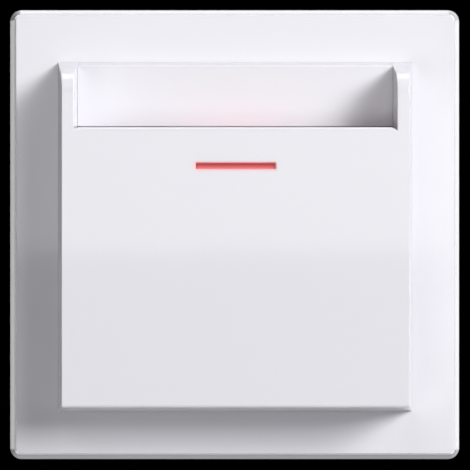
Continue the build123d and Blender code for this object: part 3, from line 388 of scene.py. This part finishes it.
def coil_spring(node, radius, wire_radius, turns):
    """The look of one coil spring in the place of its CAD node, seated at its deeper end."""
    lowest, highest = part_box(node)
    x = (lowest.x + highest.x) / 2
    z = (lowest.z + highest.z) / 2
    path = wound(lowest.y, highest.y, radius, wire_radius, turns, x, z)
    made = wire(node + "_wire", path, wire_radius, axis=(0, 1, 0))
    made.data.materials.append(spring_steel)
    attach(made, "switch")
    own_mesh(made)
    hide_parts(node)


spring_colour = (0.52, 0.52, 0.54)
spring_steel = metal("spring_steel", spring_colour, rough=0.22, streaks=(6000.0, 900.0, 6000.0),
                     cloud=0.12)
coil_spring("plunger_spring", radius=0.0030, wire_radius=0.00035, turns=5)
coil_spring("contact_spring", radius=0.0022, wire_radius=0.00025, turns=7)


# Torsion spring of the paddle: four turns round the pin in the gap of the paddle's hub, one leg
# on the paddle's back and one on the guide. In the switch it twists with the paddle, its turns
# sharing out the swing from one leg to the other; here it is drawn once, in one pose.
def torsion_spring():
    """Leg, helix round the x axis and leg: the legs leave the helix along its end directions."""
    pivot = (0.0, -0.0090, 0.0045)
    wire_radius = 0.0002
    radius = 0.0015
    coil_half = 0.0022
    paddle_lean = math.radians(22.5)
    guide_lean = math.radians(34.0)
    paddle_leg = 0.0056
    guide_leg = 0.00425
    turns = 4
    coil_points = 240
    leg_points = 16
    sweep = turns * 2 * math.pi + paddle_lean + guide_lean
    share = np.linspace(0, 1, coil_points)
    angle = -paddle_lean + sweep * share
    helix = np.stack([pivot[0] - coil_half + 2 * coil_half * share,
                      pivot[1] + radius * np.cos(angle),
                      pivot[2] + radius * np.sin(angle)], axis=1)
    rise = 2 * coil_half / sweep
    starts = np.array([rise, -radius * math.sin(angle[0]), radius * math.cos(angle[0])])
    ends = np.array([rise, -radius * math.sin(angle[-1]), radius * math.cos(angle[-1])])
    starts /= np.linalg.norm(starts)
    ends /= np.linalg.norm(ends)
    leg = np.linspace(0, 1, leg_points)[:, None]
    first = helix[0] - starts * paddle_leg * (1 - leg[:-1])
    last = helix[-1] + ends * guide_leg * leg[1:]
    path = np.concatenate([first, helix, last])
    made = wire("paddle_spring_wire", path, wire_radius, axis=(1, 0, 0), around=12)
    made.data.materials.append(spring_steel)
    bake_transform(made)
    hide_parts("paddle_spring")


torsion_spring()


# Plunger and paddle: the two moving mouldings between the card and the contact arm, of natural
# acetal, which is slippery, milky and slightly waxy. The paddle snaps on its pin in the guide;
# the card pushes its nose back, and its back pushes the plunger.
acetal_white = (0.70, 0.69, 0.65)
dress(textured("paddle_plastic", acetal_white, rough=0.34, grain=2600.0, depth=0.000006),
      "card_paddle", "plunger")


# Light guide in the pocket's back wall: clear acrylic, pressed into the card guide. It carries
# the lamp's light across the slot to the red window; its soft red glow is painted light, an
# emission in its own material.
def light_guide_material():
    """Clear body with a faint haze and an even, painted red glow."""
    body_clear = (0.92, 0.80, 0.79)
    light_red = (1.0, 0.16, 0.13)
    made, shader, place = begin("clear_plastic")
    haze = noise(place, 1200.0)
    place.feed(shader.inputs["Base Color"], shaded(body_clear, haze * 0.06))
    place.feed(shader.inputs["Roughness"], haze * 0.06 + 0.10)
    # Painted light: an emission stands in for the lamp's light carried through the guide.
    place.feed(shader.inputs["Emission Color"], shaded(light_red, haze * 0.2))
    shader.inputs["Emission Strength"].default_value = 1.2
    shader.inputs["Transmission Weight"].default_value = 0.6
    shader.inputs["IOR"].default_value = 1.49
    return made


dress(light_guide_material(), "light_pipe")


# Decorative frame, card guide and card cover: the white mouldings that show in the room, with
# the gloss and the faint waves of a polished tool and a cool tint in the white. The guide is
# screwed to the support frame and clamps the decorative frame; the cover snaps over it.
def white_material(name):
    """High gloss white: a broad, faint wave and a finer one as relief under a smooth surface."""
    cool_white = (0.815, 0.807, 0.855)
    wave_height = 0.00003
    made, shader, place = begin(name)
    wave = noise(place, 45.0, 1.0)
    haze = noise(place, 700.0, 3.0)
    place.feed(shader.inputs["Base Color"], shaded(cool_white, wave * 0.012 + haze * 0.006))
    place.feed(shader.inputs["Roughness"], haze * 0.03 + 0.055)
    place.feed(shader.inputs["Normal"], relief(place, wave * 0.7 + haze * 0.02, wave_height))
    shader.inputs["IOR"].default_value = 1.5
    return made, shader, place


def painted_rim_light_and_shade(shader, place):
    """Painted red light and painted pink shade on the white plastic at the window's rim.

    Both fall by a factor e for each fade of distance from the window's outline: the distance is
    the hypotenuse of how far a point is outside the window across and upwards."""
    window_half_wide = 0.00675
    window_half_tall = 0.0005
    fade = 0.00022
    painted_rim_pink_shade = (0.74, 0.42, 0.45)
    lowest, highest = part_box("indicator_lens")
    across, _, tall = coordinates(place)
    squares = 0.0
    for value, middle, half in ((across, 0.0, window_half_wide),
                                (tall, (lowest.z + highest.z) / 2, window_half_tall)):
        outside = place.node("Math", {0: away_from(value, middle) - half, 1: 0.0},
                             operation="MAXIMUM")
        squares = outside * outside + squares
    near = math.e ** (squares ** 0.5 / -fade)
    white = Shade(place.tree, shader.inputs["Base Color"].links[0].from_socket)
    # Painted shade: the white base colour is darkened towards pink near the window's outline.
    place.feed(shader.inputs["Base Color"], mixed(near * 0.8, white, painted_rim_pink_shade))
    # Painted red light: an emission near the window stands in for the lamp's light on the white.
    painted_red_glow = place.node("CombineColor",
                      {"Red": near * 0.2, "Green": near * 0.01, "Blue": near * 0.01})
    place.feed(shader.inputs["Emission Color"], painted_red_glow)
    shader.inputs["Emission Strength"].default_value = 1.0


dress(white_material("white_plastic")[0], "frame", "card_guide")
cover_white, cover_shader, cover_place = white_material("white_plastic_cover")
# The cover's white carries the painted red light and painted shade round the window.
painted_rim_light_and_shade(cover_shader, cover_place)
dress(cover_white, "card_cover")


# Red window of the front plate: dyed clear plastic pressed into its opening from behind, a
# little below the plate's face. Its glow is painted light, an emission for the lamp's light that
# the light guide brings from the back; it is stronger behind, so some of it falls on the pocket's
# wall. It is brightest along its lower edge: the darker top and ends are painted shade.
def lens_material():
    """Painted red glow with painted shade under the top edge and at the ends, stronger behind.

    down is the share of the way from the window's top edge to its lower one; inside is 0 at either
    end of the window and 1 from half a millimetre inwards."""
    window_tall = 0.0010
    window_half_wide = 0.00675
    end_fade = 0.0005
    front_layer = 0.0006
    dyed_red = (0.25, 0.02, 0.02)
    made, shader, place = begin("red_lens")
    lowest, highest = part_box("indicator_lens")
    window_top = (lowest.z + highest.z) / 2 + window_tall / 2
    across, deep, tall = coordinates(place)
    down = ramp(tall, window_top, window_top - window_tall)
    inside = ramp(away_from(across, 0.0), window_half_wide, window_half_wide - end_fade)
    behind = ramp(deep, lowest.y + front_layer, highest.y)
    swirl = noise(place, 900.0)
    place.feed(shader.inputs["Base Color"], shaded(dyed_red, swirl * 0.1))
    place.feed(shader.inputs["Roughness"], swirl * 0.05 + 0.10)
    # Painted shade: the glow is halved at the window's ends and darkest under its top edge.
    ends = inside * 0.5 + 0.5
    red = (down * 0.55 + 0.10) * ends + behind * 0.9
    green = down * down * 0.2 * ends + behind * 0.09
    painted_red_glow = place.node("CombineColor", {"Red": red, "Green": green, "Blue": green * 1.05})
    place.feed(shader.inputs["Emission Color"], painted_red_glow)
    shader.inputs["Emission Strength"].default_value = 1.0
    return made


dress(lens_material(), "indicator_lens")


# Studio: soft lamps, a pale floor far below and a dark backdrop, as in the photograph. The two key
# lamps stand to the right and above, lamps and strips behind the wall light the frame's edges, and
# a broad panel ends at the camera's height, which the glossy front plate shows as a level step.
def soft_lamp(name, right, up, away, wide, tall, power):
    """A rectangular soft lamp that faces the object; its place is measured from the object."""
    data = bpy.data.lights.new(name, "AREA")
    data.shape = "RECTANGLE"
    data.size = wide
    data.size_y = tall
    data.energy = power
    made = bpy.data.objects.new(name, data)
    bpy.context.scene.collection.objects.link(made)
    made.location = (right, -away, up)
    made.rotation_mode = "QUATERNION"
    facing = made.location.normalized()
    made.rotation_quaternion = facing.to_track_quat("Z", "Y")
    made.visible_camera = False


soft_lamp("key_right", right=1.15, up=0.57, away=0.96, wide=0.6, tall=0.6, power=18.4)
soft_lamp("key_middle", right=0.98, up=0.69, away=1.06, wide=0.8, tall=0.8, power=10.6)
soft_lamp("left_fill", right=-0.44, up=0.96, away=1.2, wide=0.5, tall=0.5, power=1.9)
soft_lamp("low_fill", right=-0.69, up=-0.41, away=1.38, wide=0.5, tall=0.4, power=4.4)
soft_lamp("overhead", right=0, up=1.52, away=-0.45, wide=1.1, tall=1.1, power=10.5)
soft_lamp("wall_right", right=0.89, up=0, away=-1.33, wide=0.6, tall=0.6, power=1.3)
soft_lamp("wall_left", right=-0.89, up=0, away=-1.33, wide=0.6, tall=0.6, power=1.1)
soft_lamp("wall_top", right=0, up=0.89, away=-1.33, wide=0.6, tall=0.6, power=1.3)
soft_lamp("wall_bottom", right=0, up=-1.0, away=-0.45, wide=0.8, tall=0.8, power=2.4)
soft_lamp("strip_right", right=0.39, up=0, away=-1.55, wide=0.24, tall=0.8, power=0.42)
soft_lamp("strip_left", right=-0.39, up=0, away=-1.55, wide=0.24, tall=0.8, power=0.26)
soft_lamp("strip_top", right=0, up=0.39, away=-1.55, wide=0.8, tall=0.24, power=0.42)
soft_lamp("strip_bottom", right=0, up=-0.39, away=-1.55, wide=0.8, tall=0.24, power=0.27)

panel_tall = 0.36
panel_foot = -0.006
panel_data = bpy.data.lights.new("panel", "AREA")
panel_data.shape = "RECTANGLE"
panel_data.size = 0.62
panel_data.size_y = panel_tall
panel_data.energy = 1.15
panel = bpy.data.objects.new("panel", panel_data)
bpy.context.scene.collection.objects.link(panel)
panel.location = (0, -2.3, panel_foot + panel_tall / 2)
panel.rotation_euler = (math.radians(90), 0, 0)

world = bpy.data.worlds.new("studio")
bpy.context.scene.world = world
world.use_nodes = True
room_grey = (0.01, 0.01, 0.01)
backdrop_black = (0.0, 0.0, 0.0)
background = world.node_tree.nodes["Background"]
sky = Shade(world.node_tree, background.outputs[0])
seen_by_camera = sky.node("LightPath", {})
sky.feed(background.inputs["Color"], mixed(seen_by_camera, room_grey, backdrop_black))

floor_mesh = bpy.data.meshes.new("studio_floor")
floor_radius = 9.8
floor_drop = 1.3
floor_corners = 96
rim = np.linspace(0, 2 * math.pi, floor_corners, endpoint=False)
floor_points = np.stack([floor_radius * np.cos(rim), floor_radius * np.sin(rim),
                         np.full(floor_corners, -floor_drop)], axis=1)
floor_mesh.from_pydata(floor_points.tolist(), [], [list(range(floor_corners))])
floor = bpy.data.objects.new("studio_floor", floor_mesh)
bpy.context.scene.collection.objects.link(floor)
floor_paint, floor_shader, floor_place = begin("floor_paint")
floor_pale = (0.80, 0.80, 0.81)
floor_place.feed(floor_shader.inputs["Base Color"],
                 shaded(floor_pale, noise(floor_place, 3.0) * 0.02))
floor_shader.inputs["Roughness"].default_value = 0.7
floor_mesh.materials.append(floor_paint)

camera_data = bpy.data.cameras.new("camera")
camera = bpy.data.objects.new("camera", camera_data)
bpy.context.scene.collection.objects.link(camera)
bpy.context.scene.camera = camera
camera_data.sensor_width = 36.0
camera_data.lens = 148.8
camera_data.shift_x = 0.0290
camera_data.shift_y = 0.0311
camera.location = (-0.0024, -0.3508, -0.0027)
camera.rotation_euler = (math.radians(90), 0, 0)
bpy.context.scene.view_settings.view_transform = "Standard"
